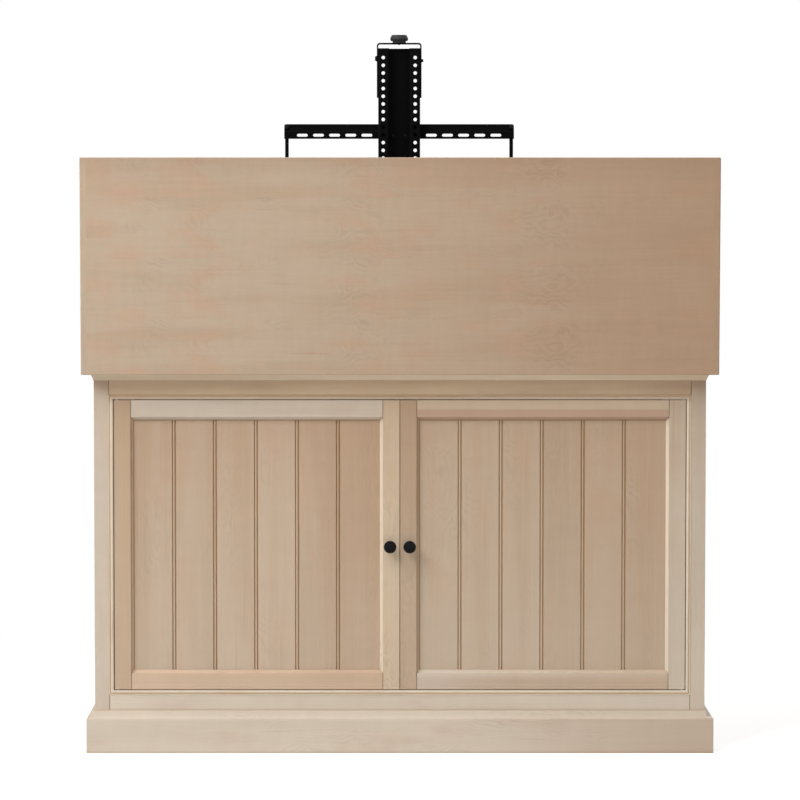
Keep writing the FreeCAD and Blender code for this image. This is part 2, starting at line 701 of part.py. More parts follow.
def board(left, right, first, last):
    """A panel board. A bead between two grooves runs down each seam: one groove and the bead on
    this board's right edge, the other groove on the next board's left edge."""
    y0 = DOOR_FRONT + STICKING_DEEP
    y1 = y0 + DOOR_PANEL_T
    deep = y0 + BOARD_GROOVE_DEEP
    corners = [(left, y1)]
    if not first:
        corners += [(left, deep), (left + BOARD_GROOVE_W, deep)]
        left += BOARD_GROOVE_W
    corners += [(left, y0)]
    bows = {}
    if last:
        corners += [(right, y0)]
    else:
        bead_left = right - BOARD_BEAD_W
        groove = bead_left - BOARD_GROOVE_W
        shoulder = y0 + BOARD_BEAD_SAG
        corners += [(groove, y0), (groove, deep), (bead_left, deep)]
        bows[len(corners)] = -BOARD_BEAD_SAG
        corners += [(bead_left, shoulder), (right, shoulder)]
    corners += [(right, y1)]
    face = outline("xy", corners, bows)
    low = DOOR_LOW + DOOR_BOTTOM_RAIL_H - GROOVE
    high = DOOR_TOP - DOOR_TOP_RAIL_H + GROOVE
    bar = face.extrude(V(0, 0, high - low))
    bar.translate(V(0, 0, low))
    return bar


def panel_boards(low_x, high_x):
    """Boards of one width, centred in the door; the two outer ones fill the rest."""
    middle = (low_x + high_x) / 2
    seams = [middle + (i - BOARDS / 2) * BOARD_W for i in range(1, BOARDS)]
    edges = [low_x] + seams + [high_x]
    return [board(a, b, a == low_x, b == high_x) for a, b in zip(edges, edges[1:])]


def knob(x, z):
    """A round knob: base flange, waist and domed head, with a spigot into the stile."""
    skin = [(0, -SPIGOT_L), (SPIGOT_R, -SPIGOT_L), (SPIGOT_R, 0)]
    skin += [(r * KNOB_D / 2, h * KNOB_OUT) for r, h in KNOB_SHAPE]
    return turned(skin, (x, DOOR_FRONT, z), (0, -1, 0))


def door(name, s):
    outer, meeting = s * DOOR_X, s * MEETING_GAP / 2
    outer_in, meeting_in = outer - s * DOOR_STILE_W, meeting + s * DOOR_STILE_W
    low_x, high_x = sorted((outer_in, meeting_in))
    room = panel_room(low_x - GROOVE, high_x + GROOVE)
    knob_z = (DOOR_LOW + DOOR_TOP) / 2 - KNOB_DROP
    handle = knob(s * KNOB_X, knob_z)
    leaves = door_hinge_leaves(s)
    hinge_stile = door_stile(outer, outer_in)
    meeting_stile = door_stile(meeting, meeting_in)
    flat_low, flat_high = low_x - STICKING_W, high_x + STICKING_W
    for part, width, up in (("rail_top", DOOR_TOP_RAIL_H, 1), ("rail_bottom", DOOR_BOTTOM_RAIL_H, -1)):
        rail = door_rail(flat_low, flat_high, width, up).cut(hinge_stile).cut(meeting_stile)
        rail = eased_ends(rail, flat_low, flat_high, DOOR_FRONT, DOOR_LOW, DOOR_TOP)
        node("door_%s_%s" % (name, part), rail.cut(room))
    spigot_room = rod(SPIGOT_R, (s * KNOB_X, DOOR_FRONT, knob_z), (0, 1, 0), SPIGOT_L)
    node("door_%s_hinge_stile" % name, hinge_stile.cut(room).cut(leaves[0]).cut(leaves[1]))
    node("door_%s_meeting_stile" % name, meeting_stile.cut(room).cut(spigot_room))
    node("door_%s_panel_boards" % name, *panel_boards(low_x - GROOVE, high_x + GROOVE))
    node("door_%s_knob" % name, handle)
    node("door_%s_hinge_leaves" % name, *leaves)
    strike_x = s * (PANEL_T / 2 + CATCH_W / 2)
    node("door_%s_strike_plate" % name, rod(STRIKE_R, (strike_x, DOOR_BACK, CATCH_Z), (0, 1, 0), STRIKE_T))


# ---------------------------------------------------------------- lid
def opened(shape):
    """Turns a piece of the closed lid to its open place."""
    shape.rotate(V(0, HINGE_Y, HINGE_Z), V(1, 0, 0), LID_OPEN)
    return shape


def hinge_length():
    return KNUCKLES * KNUCKLE_L


def lid_panel():
    front = HINGE_Y - LID_LIP
    panel = box(-LID_W / 2, LID_W / 2, front, front + LID_D, LID_LOW, LID_LOW + LID_T)
    panel = panel.makeFillet(LID_EDGE_R, panel.Edges)
    length = hinge_length() + 2 * KNUCKLE_R
    room = rod(KNUCKLE_R + SEAT, (-length / 2, HINGE_Y, HINGE_Z), (1, 0, 0), length)
    node("lid_panel", opened(panel.cut(room)))


def hinge_leaf(parity, under):
    """A hinge leaf and its knuckles; under is 1 for the case's leaf, -1 for the lid's."""
    start = -hinge_length() / 2
    far = HINGE_Z - under * LEAF_OFF
    near = far + under * STRIP_T
    z0, z1 = sorted((far, near))
    clear = KNUCKLE_R + SEAT
    leaf = box(start, -start, HINGE_Y + clear, HINGE_Y + STRIP_W, z0, z1)
    for i in range(parity, KNUCKLES, 2):
        x0 = start + i * KNUCKLE_L + KNUCKLE_PLAY / 2
        length = KNUCKLE_L - KNUCKLE_PLAY
        leaf = leaf.fuse(rod(KNUCKLE_R, (x0, HINGE_Y, HINGE_Z), (1, 0, 0), length))
        leaf = leaf.fuse(box(x0, x0 + length, HINGE_Y, HINGE_Y + clear, z0, z1))
    bore = rod(PIN_R + PIVOT_PLAY, (start - PAST, HINGE_Y, HINGE_Z), (1, 0, 0),
               hinge_length() + 2 * PAST)
    return leaf.cut(bore).removeSplitter()


def lid_hinge():
    node("lid_hinge_case_leaf", hinge_leaf(0, 1))
    node("lid_hinge_lid_leaf", opened(hinge_leaf(1, -1)))
    half = hinge_length() / 2
    node("lid_hinge_pin", rod(PIN_R, (-half, HINGE_Y, HINGE_Z), (1, 0, 0), 2 * half))


# ---------------------------------------------------------------- lift
def channel_path(brim_y, web_y, lip_y):
    """Middle line of a hat channel with returned lips, from left to right."""
    half_t = STEEL_T / 2
    way = 1 if web_y > brim_y else -1
    brim, web = brim_y + way * half_t, web_y - way * half_t
    wall, edge = CHANNEL_W / 2 + half_t, COLUMN_W / 2 - half_t
    inner = [(-wall, brim), (-wall, web), (wall, web), (wall, brim)]
    return [(-edge, lip_y), (-edge, brim)] + inner + [(edge, brim), (edge, lip_y)]


def carriage():
    path = channel_path(CARRIAGE_Y, CARRIAGE_BACK, CARRIAGE_BACK)
    body = bent_strip("xy", path, STEEL_T, BEND_R).extrude(V(0, 0, CARRIAGE_L))
    body.translate(V(0, 0, CARRIAGE_LOW))
    holes = []
    for row in range(HOLE_ROWS):
        z = CARRIAGE_TOP - HOLE_TOP - row * HOLE_PITCH
        for s in (-1, 1):
            holes.append(rod(HOLE_R, (s * HOLE_X, CARRIAGE_Y, z), (0, 1, 0), STEEL_T))
    for s, down, _ in STRAP_BOLTS:
        z = CARRIAGE_TOP - STRAP_SLOT_DROP - down
        holes.append(rod(BOLT_R, (s * COLUMN_W / 2, STRAP_Y, z), (-s, 0, 0), STEEL_T))
    web = CARRIAGE_BACK - STEEL_T
    for z in (UPPER_SLOT_Z, LOWER_SLOT_Z):
        for s in (-1, 1):
            holes.append(rod(BOLT_R, (s * RAIL_BOLT_X, web, z), (0, 1, 0), STEEL_T))
    node("lift_carriage", body.cut(Part.makeCompound(holes)))


def base_column():
    path = channel_path(BASE_BACK, BASE_Y, BASE_BACK - CHANNEL_D / 2)
    body = bent_strip("xy", path, STEEL_T, BEND_R).extrude(V(0, 0, BASE_L))
    body.translate(V(0, 0, FOOT_TOP))
    node("lift_base_column", body)


def middle_stage():
    half = MIDDLE_W / 2
    tube = box(-half, half, MIDDLE_Y, MIDDLE_BACK, MIDDLE_LOW, MIDDLE_TOP)
    tube = tube.makeFillet(TUBE_WALL, edges_along(tube, 2))
    hollow = box(-half + TUBE_WALL, half - TUBE_WALL, MIDDLE_Y + TUBE_WALL, MIDDLE_BACK - TUBE_WALL,
                 MIDDLE_LOW, MIDDLE_TOP)
    reach = DRIVE_X + ROD_R + ARM_T
    z1 = MIDDLE_TOP - ARM_DROP
    arm = box(half - TUBE_WALL, reach, MIDDLE_Y + TUBE_WALL, BASE_BACK, z1 - ARM_T, z1)
    arm = arm.cut(rod(ROD_R, (DRIVE_X, DRIVE_Y, z1 - ARM_T), (0, 0, 1), ARM_T))
    node("lift_middle_stage", tube.cut(hollow).fuse(arm).removeSplitter())


def glide_set(inner_y, way, z0):
    """Two side pads and a rear pad between the middle stage and a channel round it."""
    half_in, half_mid = CHANNEL_W / 2, MIDDLE_W / 2 + GLIDE_PLAY
    near = 2 * GUIDE_PLAY
    y0, y1 = sorted((inner_y + way * near, inner_y + way * (near + GLIDE_D)))
    side = box(half_mid, half_in, y0, y1, z0, z0 + GLIDE_L)
    pads = [side, mirrored(side)]
    back0, back1 = sorted((inner_y, inner_y + way * (GUIDE_PLAY - GLIDE_PLAY)))
    pads.append(box(-half_mid / 2, half_mid / 2, back0, back1, z0, z0 + GLIDE_L))
    return pads


def glides():
    node("lift_base_glides", *glide_set(BASE_Y + STEEL_T, 1, FOOT_TOP + BASE_L - GLIDE_L))
    node("lift_carriage_glides", *glide_set(CARRIAGE_BACK - STEEL_T, -1, CARRIAGE_LOW))


def foot_screw_places():
    back = CARRIAGE_BACK - FOOT_SCREW_Y
    front = CARRIAGE_BACK - FOOT_D + FOOT_SCREW_Y
    return [(s * (FOOT_W / 2 - FOOT_SCREW_X), y) for s in (-1, 1) for y in (front, back)]


def screw_room(x, y):
    low = FLOOR_Z - SCREW_GRIP
    return rod(SCREW_R, (x, y, low), (0, 0, 1), FOOT_TOP - low)


def lift_foot():
    """The foot plate with its gusset, and the screws that hold it down."""
    y1 = CARRIAGE_BACK
    y0 = y1 - FOOT_D
    plate = box(-FOOT_W / 2, FOOT_W / 2, y0, y1, FLOOR_Z, FOOT_TOP)
    plate = plate.makeFillet(FOOT_CORNER_R, edges_along(plate, 2))
    corners = [(-COLUMN_W / 2, FOOT_TOP), (-COLUMN_W / 2, FOOT_TOP + GUSSET_H),
               (-COLUMN_W / 2 - GUSSET_H, FOOT_TOP)]
    gusset = outline("xz", corners).extrude(V(0, FOOT_T, 0))
    gusset.translate(V(0, BASE_BACK - CHANNEL_D / 2, 0))
    plate = plate.fuse(gusset).removeSplitter()
    screws = []
    for x, y in foot_screw_places():
        plate = plate.cut(screw_room(x, y))
        screws.append(bolt((x, y, FOOT_TOP), (0, 0, 1), SCREW_R, SCREW_HEAD_R, SCREW_HEAD_H,
                           FOOT_T + SCREW_GRIP))
    node("lift_foot", plate, *screws)


def drive():
    """The drive tube, gearbox and motor beside the base column, and the rod they push."""
    tube = rod(DRIVE_R, (DRIVE_X, DRIVE_Y, FOOT_TOP), (0, 0, 1), DRIVE_L)
    half = GEARBOX_W / 2
    x0 = COLUMN_W / 2 + SEAT
    gearbox = box(x0, x0 + GEARBOX_W, BASE_BACK - GEARBOX_W, BASE_BACK, FOOT_TOP, FOOT_TOP + GEARBOX_H)
    gearbox = gearbox.makeFillet(GEARBOX_EDGE_R, edges_along(gearbox, 2))
    motor_z = FOOT_TOP + GEARBOX_H / 2
    motor = rod(MOTOR_R, (x0 + half, BASE_BACK - half, motor_z), (1, 0, 0), half + MOTOR_L)
    bore = rod(ROD_R + ROD_PLAY, (DRIVE_X, DRIVE_Y, FOOT_TOP + BORE_FLOOR), (0, 0, 1), DRIVE_L)
    node("drive_housing", tube.fuse(gearbox).fuse(motor).cut(bore).removeSplitter())
    rod_low = FOOT_TOP + BORE_FLOOR + ROD_FOOT_GAP + TRAVEL / 2
    rod_top = MIDDLE_TOP - ARM_DROP
    node("drive_rod", rod(ROD_R, (DRIVE_X, DRIVE_Y, rod_low), (0, 0, 1), rod_top - rod_low))


def control_box():
    y1 = BASE_BACK
    x1 = SIDE_IN - CONTROL_INSET
    case = box(x1 - CONTROL_W, x1, y1 - CONTROL_D, y1, FLOOR_Z, FLOOR_Z + CONTROL_H)
    node("control_box", case.makeFillet(CONTROL_EDGE_R, edges_along(case, 2)))


def tv_rail(slot_z):
    """A slotted rail; its upper half is set back as a lip for the television's hooks."""
    y = CARRIAGE_BACK + STEEL_T / 2
    path = [(y, slot_z - RAIL_BELOW), (y, slot_z + RAIL_JOG_Z),
            (y + RAIL_JOG, slot_z + RAIL_JOG_Z + RAIL_JOG_H), (y + RAIL_JOG, slot_z + RAIL_ABOVE)]
    rail = bent_strip("yz", path, STEEL_T, BEND_R).extrude(V(RAIL_L, 0, 0))
    rail.translate(V(-RAIL_L / 2, 0, 0))
    top = slot_z + RAIL_ABOVE - SEAT
    corners = [e for e in edges_along(rail, 1) if e.CenterOfMass.z > top]
    rail = rail.makeFillet(RAIL_CORNER_R, corners)
    cuts = []
    for i in range(SLOTS):
        for s in (-1, 1):
            x = s * (SLOT_FIRST + i * SLOT_PITCH)
            cuts.append(obround(x, slot_z, SLOT_L, SLOT_W, y - STEEL_T, y + STEEL_T))
    for s in (-1, 1):
        cuts.append(rod(BOLT_R, (s * RAIL_BOLT_X, y - STEEL_T, slot_z), (0, 1, 0), 2 * STEEL_T))
        cuts.append(rod(BOLT_R, (s * END_BAR_X, y, slot_z + END_BAR_UP), (0, 1, 0), RAIL_JOG + STEEL_T))
    return rail.cut(Part.makeCompound(cuts))


def end_bars():
    y0 = CARRIAGE_BACK + STEEL_T + RAIL_JOG
    low, high = LOWER_SLOT_Z - RAIL_BELOW, UPPER_SLOT_Z + RAIL_ABOVE - STEEL_T
    bar = box(END_BAR_X - END_BAR_W / 2, END_BAR_X + END_BAR_W / 2, y0, y0 + END_BAR_D, low, high)
    ends = [e for e in edges_along(bar, 0) if e.CenterOfMass.y > y0 + SEAT]
    bar = bar.makeFillet(END_BAR_W / 2, ends)
    for z in (LOWER_SLOT_Z, UPPER_SLOT_Z):
        bar = bar.cut(rod(BOLT_R, (END_BAR_X, y0, z + END_BAR_UP), (0, 1, 0), END_BOLT_GRIP))
    node("tv_end_bars", mirrored(bar), bar)


def bolt(seat, way, radius, head_r, head_h, shank):
    """A round-headed bolt or screw; way points from its seat out through the head."""
    skin = [(0, -shank), (radius, -shank), (radius, 0)]
    skin += [(r * head_r, h * head_h) for r, h in HEAD_SHAPE]
    return turned(skin, seat, way)


def lift_bolts():
    bolts = []
    web = CARRIAGE_BACK + STEEL_T
    lip = CARRIAGE_BACK + RAIL_JOG
    for z in (UPPER_SLOT_Z, LOWER_SLOT_Z):
        for s in (-1, 1):
            bolts.append(bolt((s * RAIL_BOLT_X, web, z), (0, 1, 0), BOLT_R, BOLT_HEAD_R, BOLT_HEAD_H,
                              2 * STEEL_T))
            bolts.append(bolt((s * END_BAR_X, lip, z + END_BAR_UP), (0, -1, 0), BOLT_R, BOLT_HEAD_R,
                              BOLT_HEAD_H, STEEL_T + END_BOLT_GRIP))
    for s, down, head_r in STRAP_BOLTS:
        z = CARRIAGE_TOP - STRAP_SLOT_DROP - down
        bolts.append(bolt((s * (COLUMN_W / 2 + STRAP_T), STRAP_Y, z), (s, 0, 0), BOLT_R,
                          head_r, STRAP_BOLT_HEAD_H, STRAP_T + STEEL_T))
    node("lift_bolts", *bolts)


def pusher_strap():
    """A strap bent over the carriage's top, with a slot in each leg to set its height."""
    edge = COLUMN_W / 2 + STRAP_T / 2
    top = STRAP_TOP - STRAP_T / 2
    low = STRAP_TOP - STRAP_LEG
    path = [(-edge, low), (-edge, top), (edge, top), (edge, low)]
    strap = bent_strip("xz", path, STRAP_T, STRAP_BEND_R).extrude(V(0, STRAP_D, 0))
    strap.translate(V(0, STRAP_Y - STRAP_D / 2, 0))
    slot_top = CARRIAGE_TOP - STRAP_SLOT_DROP
    reach = 2 * edge + 2 * STRAP_T
    slot = rod(BOLT_R, (-reach / 2, STRAP_Y, slot_top), (1, 0, 0), reach)
    slot = slot.fuse(rod(BOLT_R, (-reach / 2, STRAP_Y, slot_top - STRAP_SLOT_L), (1, 0, 0), reach))
    slot = slot.fuse(box(-reach / 2, reach / 2, STRAP_Y - BOLT_R, STRAP_Y + BOLT_R,
                         slot_top - STRAP_SLOT_L, slot_top))
    stud = rod(STUD_R, (0, STRAP_Y, STRAP_TOP - STRAP_T), (0, 0, 1), STRAP_T)
    node("lid_pusher_strap", strap.cut(slot).cut(stud))


def bumper():
    """The round cushion that pushes the lid, on a stud through the strap."""
    stud = [(0, -STRAP_T - STUD_TAIL), (STUD_R, -STRAP_T - STUD_TAIL), (STUD_R, 0)]
    node("lid_bumper", turned(stud + BUMPER_SHAPE, (0, STRAP_Y, STRAP_TOP), (0, 0, 1)))


# ---------------------------------------------------------------- assembly
def build():
    side_panels()
    bottom_and_runner()
    face_frame()
    opening_bead()
    back_frame()
    plinth()
    cove_moulding()
    top_stretcher()
    divider_and_shelves()
    door_catches()
    door_hinge_frame_leaves()
    for name, s in SIDES:
        door(name, s)
    lid_panel()
    lid_hinge()
    lid_rest_pads()
    lift_foot()
    base_column()
    middle_stage()
    carriage()
    glides()
    drive()
    control_box()
    node("tv_rail_upper", tv_rail(UPPER_SLOT_Z))
    node("tv_rail_lower", tv_rail(LOWER_SLOT_Z))
    end_bars()
    lift_bolts()
    pusher_strap()
    bumper()


build()
os.makedirs("parts", exist_ok=True)
for node_name, shape in NODES.items():
    shape.exportStep("parts/%s.step" % node_name)
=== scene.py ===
import math

import bmesh
import bpy
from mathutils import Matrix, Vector

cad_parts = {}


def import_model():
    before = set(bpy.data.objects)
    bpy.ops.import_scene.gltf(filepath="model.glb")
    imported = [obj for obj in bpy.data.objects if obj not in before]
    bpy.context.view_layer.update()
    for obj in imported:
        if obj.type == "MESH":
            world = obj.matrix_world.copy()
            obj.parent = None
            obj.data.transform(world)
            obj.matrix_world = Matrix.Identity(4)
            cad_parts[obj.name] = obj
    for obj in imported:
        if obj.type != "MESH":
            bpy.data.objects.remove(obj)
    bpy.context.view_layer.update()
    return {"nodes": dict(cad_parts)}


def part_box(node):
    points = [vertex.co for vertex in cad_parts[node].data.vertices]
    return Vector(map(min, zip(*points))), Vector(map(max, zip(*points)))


# Looks of the television lift cabinet. Metres, in the frame of the CAD model: +Z up, doors
# towards -Y. Wood grain follows the rest pose, because every piece's own coordinates are
# those of the frame.

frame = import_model()
NODES = frame["nodes"]
X, Y, Z = 0, 1, 2          # axes, as places in a list of coordinates

# ---------------------------------------------------------------- places read from the frame
LID_LOW, LID_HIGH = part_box("lid_panel")
BEAD_LOW, BEAD_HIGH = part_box("opening_bead")
CASE_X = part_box("side_panel_right")[1].x
CASE_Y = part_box("back_stiles")[1].y

# ---------------------------------------------------------------- camera
IMAGE_PX = 800
FOCAL_PX = 3754.0
SENSOR_MM = 36.0
PITCH_DOWN = math.radians(3.2018)
CAMERA_PLACE = (-0.0593, -9.2292, 1.3545)
CAMERA_SHIFT = 0.0310      # brings the cabinet back to the middle of the picture
CAMERA_REACH = 60.0


def camera():
    data = bpy.data.cameras.new("camera")
    data.sensor_width = SENSOR_MM
    data.lens = FOCAL_PX / IMAGE_PX * SENSOR_MM
    data.clip_end = CAMERA_REACH
    data.shift_x = CAMERA_SHIFT
    eye = bpy.data.objects.new("camera", data)
    eye.location = CAMERA_PLACE
    eye.rotation_euler = (math.pi / 2 - PITCH_DOWN, 0, 0)
    bpy.context.scene.collection.objects.link(eye)
    bpy.context.scene.camera = eye


# ---------------------------------------------------------------- colours
def linear(red, green, blue):
    """An sRGB colour of 0 to 255 as linear RGBA."""
    def channel(value):
        value /= 255
        return value / 12.92 if value <= 0.04045 else ((value + 0.055) / 1.055) ** 2.4
    return channel(red), channel(green), channel(blue), 1.0


# The first tone is that of a painted highlight on moulded edges that face the light.
HIGHLIGHT_CHALK = linear(228, 216, 198)
MILK = linear(213, 199, 181)
PALE = linear(206, 191, 173)
CREAM = linear(198, 177, 153)
SAND = linear(190, 169, 146)
TAN = linear(189, 162, 135)
CLAY = linear(181, 155, 128)
PINK = linear(194, 160, 134)
RUST = linear(176, 128, 100)
BROWN = linear(170, 136, 106)
# The next four are tones of painted shade, in corners and gaps and at the foot of moulded edges;
# the darkest is also that of the dark joints at the ends of rails.
LIGHT_SHADE = linear(212, 166, 110)
SHADE = linear(166, 124, 72)
QUIRK_SHADE = linear(141, 101, 60)
JOINT_AND_DEEP_SHADE = linear(92, 66, 40)


# ---------------------------------------------------------------- node helpers
# Places of a Mix node's sockets, by the kind of data it mixes: factor, first, second; result
MIX_SOCKETS = {"FLOAT": ((0, 2, 3), 0), "RGBA": ((0, 6, 7), 2)}
EDGE_LIMITS = 0.01, 0.2    # turn of an eased normal at which an edge begins and is full


class Tree:
    """Builds the node tree of a material or a world; sockets and plain values can be mixed."""

    def __init__(self, owner):
        owner.use_nodes = True
        self.tree = owner.node_tree
        self.tree.nodes.clear()

    def feed(self, socket, value):
        if isinstance(value, bpy.types.NodeSocket):
            self.tree.links.new(value, socket)
        else:
            socket.default_value = value

    def node(self, kind, *values, **settings):
        """A new node whose first sockets are fed with the values."""
        made = self.tree.nodes.new(kind)
        for key, value in settings.items():
            setattr(made, key, value)
        for socket, value in zip(made.inputs, values):
            self.feed(socket, value)
        return made

    def output(self, kind, *values, **settings):
        """The first output of such a node."""
        return self.node(kind, *values, **settings).outputs[0]

    def math(self, operation, *values):
        return self.output("ShaderNodeMath", *values, operation=operation)

    def plus(self, first, second):
        return self.math("ADD", first, second)

    def minus(self, first, second):
        return self.math("SUBTRACT", first, second)

    def times(self, first, second):
        return self.math("MULTIPLY", first, second)

    def raised(self, base, layer, amount):
        """base, and more by amount where the layer is 1."""
        return self.plus(base, self.times(layer, amount))

    def varied(self, base, layer, amount):
        """base, with a layer of 0 to 1 added evenly on both sides of it."""
        return self.plus(base, self.times(self.minus(layer, 0.5), amount))

    def steps(self, value, start, end):
        """0 at start, 1 at end and beyond, smooth between; end may be the smaller one."""
        return self.output("ShaderNodeMapRange", value, start, end, interpolation_type="SMOOTHSTEP")

    def mix(self, factor, first, second, kind="RGBA", blend="MIX"):
        """first where the factor is 0, second where it is 1."""
        made = self.node("ShaderNodeMix", data_type=kind, blend_type=blend)
        places, result = MIX_SOCKETS[kind]
        for place, value in zip(places, (factor, first, second)):
            self.feed(made.inputs[place], value)
        return made.outputs[result]


class Graph(Tree):
    """The node tree of a material of the object, with one principled shader."""

    def __init__(self, name):
        self.material = bpy.data.materials.new(name)
        super().__init__(self.material)
        self.shader = self.node("ShaderNodeBsdfPrincipled")
        self.node("ShaderNodeOutputMaterial", self.shader.outputs["BSDF"])

    def place(self):
        """The point in the frame's rest pose, as its three sockets."""
        here = self.node("ShaderNodeTexCoord").outputs["Object"]
        return list(self.node("ShaderNodeSeparateXYZ", here).outputs)

    def noise(self, coordinates, scales, detail=2.0, roughness=0.5):
        """Noise of about 0 to 1 whose grains are 1/scale metres long on each axis."""
        scaled = [self.times(coordinate, scale) for coordinate, scale in zip(coordinates, scales)]
        made = self.node("ShaderNodeTexNoise")
        self.feed(made.inputs["Vector"], self.output("ShaderNodeCombineXYZ", *scaled))
        made.inputs["Scale"].default_value = 1.0
        made.inputs["Detail"].default_value = detail
        made.inputs["Roughness"].default_value = roughness
        return made.outputs["Fac"]

    def patches(self, coordinates, layer, limits):
        """1 in patches where the layer's noise is over both limits, 0 where it is under them."""
        return self.steps(self.noise(coordinates, *layer), *limits)

    def random(self, value):
        made = self.node("ShaderNodeTexWhiteNoise", noise_dimensions="1D")
        self.feed(made.inputs["W"], value)
        return made.outputs["Value"]

    def shade(self, colour, factor):
        """Multiplies a colour by a grey factor."""
        grey = self.output("ShaderNodeCombineColor", factor, factor, factor)
        return self.mix(1.0, colour, grey, blend="MULTIPLY")

    def eased(self, radius, samples=6):
        """A normal with the solid's sharp edges eased, and how much of an edge is here."""
        normal = self.output("ShaderNodeBevel", radius, samples=samples)
        true = self.node("ShaderNodeNewGeometry").outputs["Normal"]
        dot = self.node("ShaderNodeVectorMath", normal, true, operation="DOT_PRODUCT")
        return normal, self.steps(self.minus(1.0, dot.outputs["Value"]), *EDGE_LIMITS)

    def crevice(self, distance, samples=8):
        """1 in the open, less where other faces stand close."""
        made = self.node("ShaderNodeAmbientOcclusion", samples=samples)
        made.inputs["Distance"].default_value = distance
        return made.outputs["AO"]

    def bump(self, height, normal, distance, strength):
        made = self.node("ShaderNodeBump")
        made.inputs["Strength"].default_value = strength
        made.inputs["Distance"].default_value = distance
        self.feed(made.inputs["Height"], height)
        self.feed(made.inputs["Normal"], normal)
        self.feed(self.shader.inputs["Normal"], made.outputs[0])

    def finish(self, **values):
        """Feeds the shader's other sockets, named with _ for a space, and gives the material."""
        for name, value in values.items():
            self.feed(self.shader.inputs[name.replace("_", " ")], value)
        return self.material


def dress(material, *nodes):
    """Gives CAD nodes their material, with smooth shading inside each face."""
    for node in nodes:
        piece = NODES[node]
        piece.data.materials.clear()
        piece.data.materials.append(material)
        for face in piece.data.polygons:
            face.use_smooth = True


# ---------------------------------------------------------------- wood: which way the grain runs
# For each axis that the grain can follow: the axes along it, across it and into the wood
GRAIN = {X: (X, Y, Z), Y: (Y, X, Z), Z: (Z, X, Y)}
BOARD_W = 0.0987           # boards of the door panels
LEAF_W = 0.1455            # veneer leaves of the lid
LEAF_FOOT = 0.013          # part of the lowest leaf that is cut off
LEAF_SLIP = 0.007          # from one leaf's figure to the next one's
LIPPING_W = 0.0145         # solid edge of the lid's ends


def straight_grain(graph, axis):
    """The coordinates along the grain, across it and into the wood."""
    place = graph.place()
    return [place[i] for i in GRAIN[axis]]


def chosen(graph, test, first, second):
    """first where test is above 0, else second, for each coordinate."""
    factor = graph.math("GREATER_THAN", test, 0.0)
    return [graph.mix(factor, b, a, kind="FLOAT") for a, b in zip(first, second)]


def beyond(graph, value, limit):
    """How far value lies outside the range from -limit to limit."""
    return graph.minus(graph.math("ABSOLUTE", value), limit)


def cells(graph, value, width):
    """The number of the cell that value lies in, and its place from the cell's middle."""
    number = graph.math("FLOOR", graph.math("DIVIDE", value, width))
    return number, graph.minus(graph.math("FLOORED_MODULO", value, width), width / 2)


def ring_grain(graph):
    """Grain round the case: along X in front and behind, along Y on the sides."""
    x, y, z = graph.place()
    sides = graph.minus(beyond(graph, x, CASE_X), beyond(graph, y, CASE_Y))
    return chosen(graph, sides, (y, x, z), (x, y, z))


def bead_grain(graph):
    """Grain of the bead: along X over and under the opening, upright beside it."""
    x, y, z = graph.place()
    centre = (BEAD_LOW.z + BEAD_HIGH.z) / 2
    up = beyond(graph, graph.minus(z, centre), (BEAD_HIGH.z - BEAD_LOW.z) / 2)
    out = beyond(graph, x, BEAD_HIGH.x)
    return chosen(graph, graph.minus(out, up), (z, x, y), (x, z, y))


def board_grain(graph, low, high):
    """Upright grain cut into boards; also gives each board's own number."""
    x, y, z = graph.place()
    number, inside = cells(graph, graph.minus(x, (low.x + high.x) / 2), BOARD_W)
    return (z, inside, y), number


def leaf_grain(graph):
    """Grain along the lid in slip-matched veneer leaves, upright in the lippings of its ends."""
    x, y, z = graph.place()
    number, inside = cells(graph, graph.minus(z, LID_LOW.z - LEAF_FOOT), LEAF_W)
    slip = graph.times(number, LEAF_SLIP)
    end = beyond(graph, x, LID_HIGH.x - LIPPING_W)
    return chosen(graph, end, (z, x, y), (graph.plus(x, slip), inside, graph.plus(y, slip)))


def long_grain(graph):
    """The lid's grain without its leaves."""
    x, y, z = graph.place()
    return chosen(graph, beyond(graph, x, LID_HIGH.x - LIPPING_W), (z, x, y), (x, z, y))


# ---------------------------------------------------------------- wood: its layers
# Noise layers: scales per metre along the grain, across it and into the wood; detail; roughness
FIBRE = (9.0, 1100.0, 1100.0), 3.0, 0.65
STREAKS = (2.4, 150.0, 150.0), 3.0, 0.6
MOTTLING = (34.0, 12.0, 12.0), 2.0, 0.5
GREYING = (2.1, 5.0, 5.0), 2.0, 0.5

# Patches: a noise layer, and the values of its noise at which a patch begins and is full
DARK_RUNS = ((0.9, 15.0, 15.0), 3.0, 0.5), (0.62, 0.8)
FLECKS = ((70.0, 900.0, 900.0), 1.0, 0.5), (0.68, 0.8)
BLUSH = ((4.5, 13.0, 13.0), 3.0, 0.6), (0.46, 0.7)
MINERAL = ((2.6, 130.0, 130.0), 1.0, 0.5), (0.74, 0.82)
CURLED = ((2.6, 9.0, 9.0), 2.0, 0.5), (0.47, 0.7)
STREAKS_LOWER = 0.3, 0.2   # how far a wood's streaks lower the limits of its dark runs

# Growth rings are cylinders round a heart that lies behind the face
HEART_DEPTH = 0.05         # least depth of the heart
HEART_RANGE = 0.04         # how much deeper it lies in some lots
HEART_ASIDE = 0.05         # how far it lies aside, between the two extreme lots
RING_BENDS = (((1.7, 3.0, 3.0), 0.05), ((9.0, 22.0, 22.0), 0.017), ((30.0, 70.0, 70.0), 0.003))
RING_GROWS = 0.3, 0.9      # shares of a ring in which its late wood comes
RING_ENDS = 0.9, 1.0       # and goes
RING_LEAST = 0.12          # how much of the rings shows outside the curled patches

LOT_STEP = 7.31            # keeps the numbers of neighbouring boards apart
LOT_SHIFT = 9.0            # along the grain, between the two extreme lots

